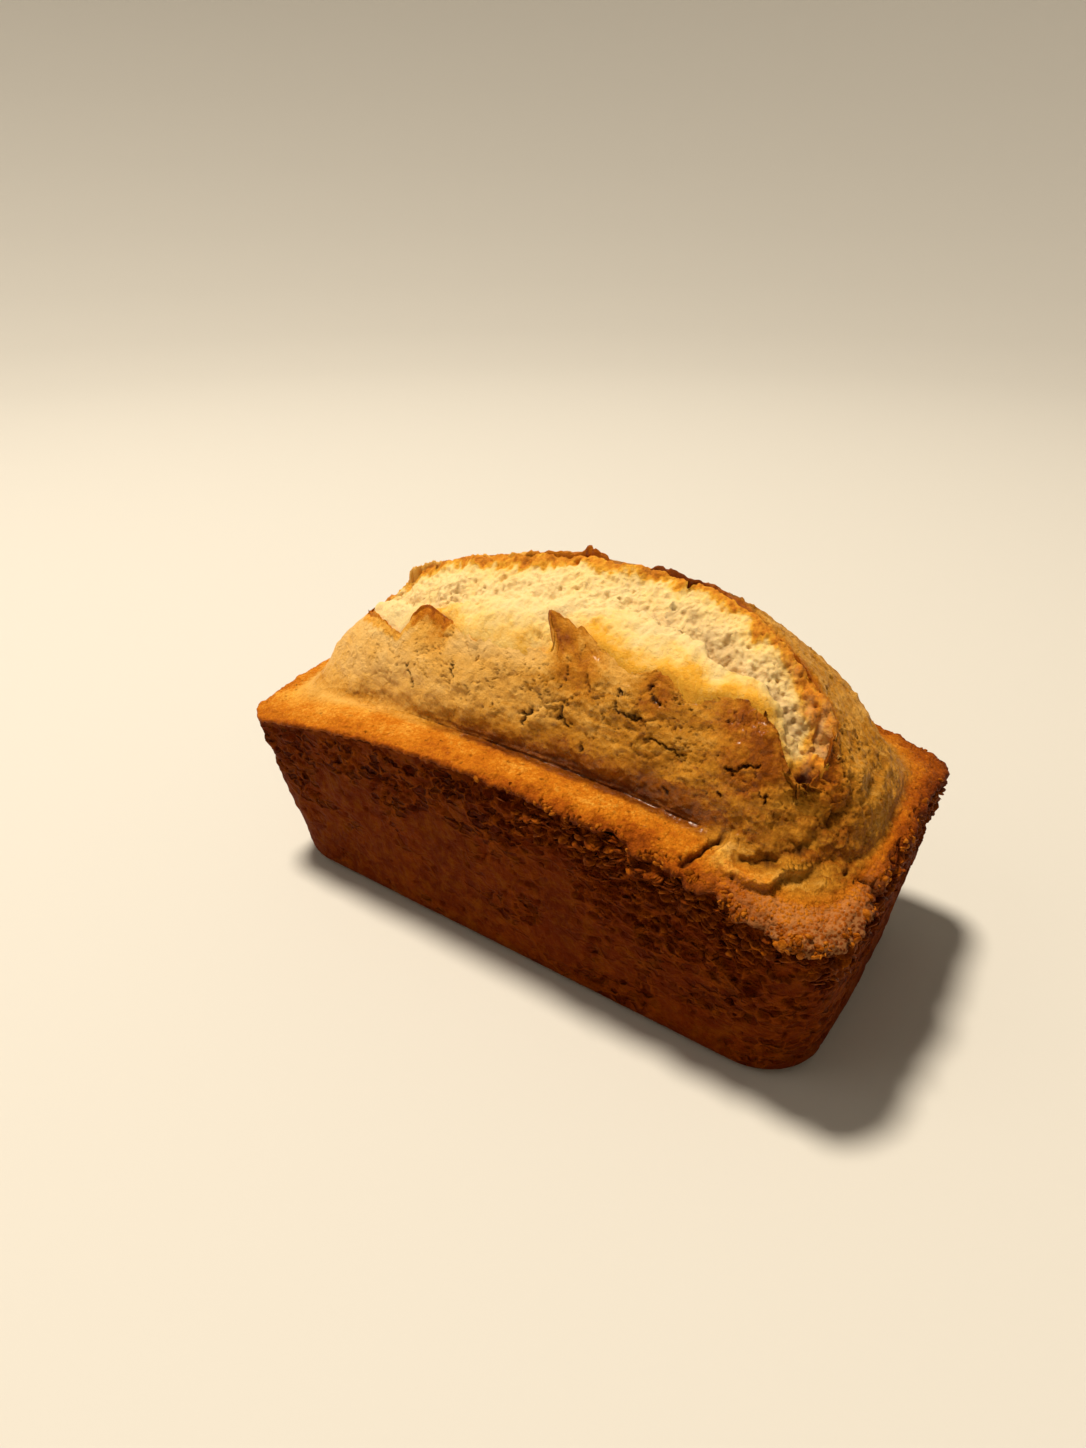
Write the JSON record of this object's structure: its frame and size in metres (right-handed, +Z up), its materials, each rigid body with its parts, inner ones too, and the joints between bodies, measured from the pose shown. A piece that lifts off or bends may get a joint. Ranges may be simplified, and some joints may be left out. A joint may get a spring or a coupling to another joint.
{
  "type": "sour cream pound cake",
  "caption": "Loaf cake baked in a tin, with leaning walls, a browned ledge, and a domed crust that has split along the top.",
  "frame": {"origin": "middle of the flat base, under the middle of the cake's box", "axes": "+X along the cake's length, +Y across it towards the back, +Z up through the domed crust"},
  "size_m": [0.215, 0.1116, 0.1189],
  "materials": {
    "baked_cake": "baked golden brown crust, deeper brown on the walls, with pale crumb in the split"
  },
  "bodies": {
    "root": {"pound_cake": "baked_cake"}
  },
  "joints": []
}
